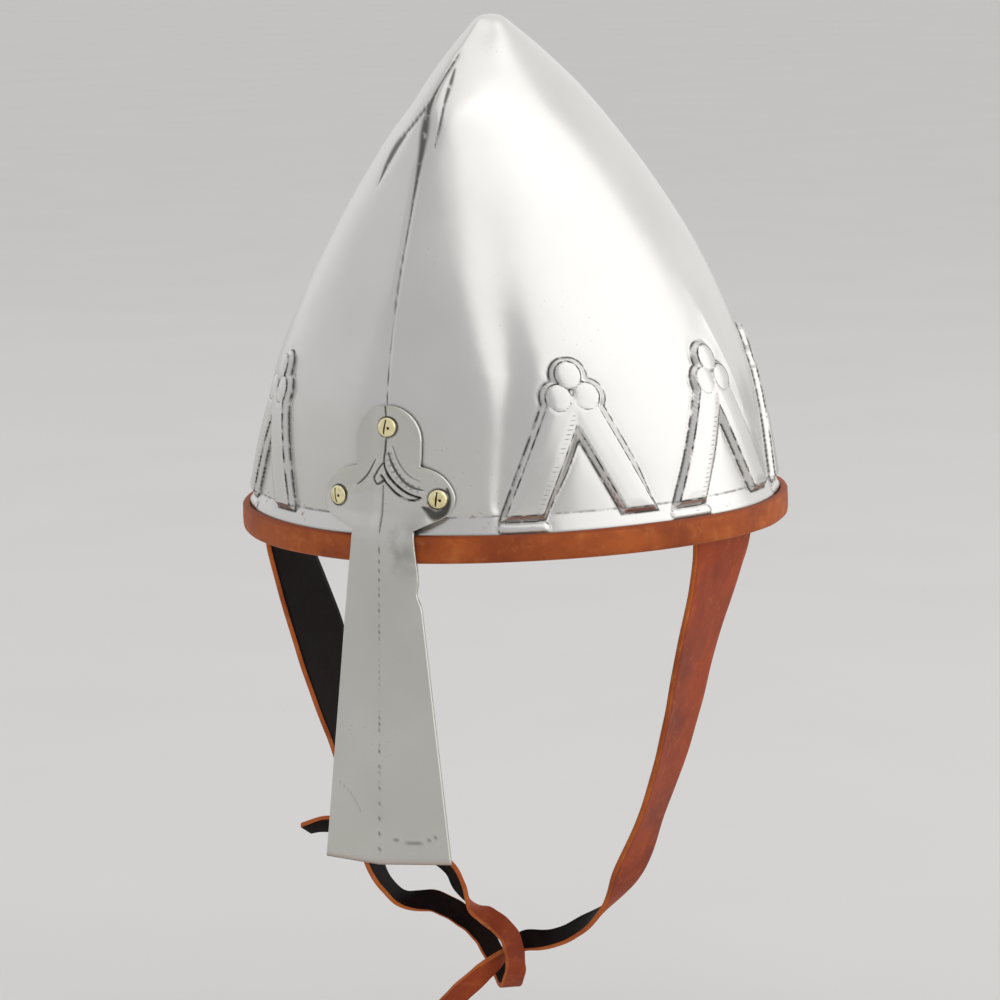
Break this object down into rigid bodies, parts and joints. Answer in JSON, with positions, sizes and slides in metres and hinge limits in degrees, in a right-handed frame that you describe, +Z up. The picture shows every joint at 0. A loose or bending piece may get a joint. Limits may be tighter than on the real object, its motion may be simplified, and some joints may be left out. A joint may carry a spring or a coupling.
{
  "type": "conical nasal helmet with tied chin strap",
  "caption": "Conical steel helmet with embossed chevrons round the rim, a riveted keeled nasal, a leather rim binding and a tied leather chin strap.",
  "frame": {"origin": "middle of the rim, level with the binding's top edge: where the helmet sits round the head", "axes": "+Z up to the apex, -Y out of the wearer's face (the nasal is at -Y), +X to the wearer's left"},
  "size_m": [0.214, 0.2444, 0.4093],
  "materials": {
    "polished_steel": "polished sheet steel, hand embossed, faint tarnish in the chased lines",
    "nasal_steel": "polished sheet steel with fine brush marks and small pits",
    "brass": "bright domed brass",
    "binding_leather": "smooth tan leather with a cut edge",
    "strap_leather": "red-brown leather, raw lighter cut edges"
  },
  "bodies": {
    "root": {"shell": "polished_steel", "nasal": "nasal_steel", "rivet_top": "brass", "rivet_right": "brass", "rivet_left": "brass", "rim_binding": "binding_leather", "strap_right": "strap_leather", "strap_left": "strap_leather"}
  },
  "joints": []
}
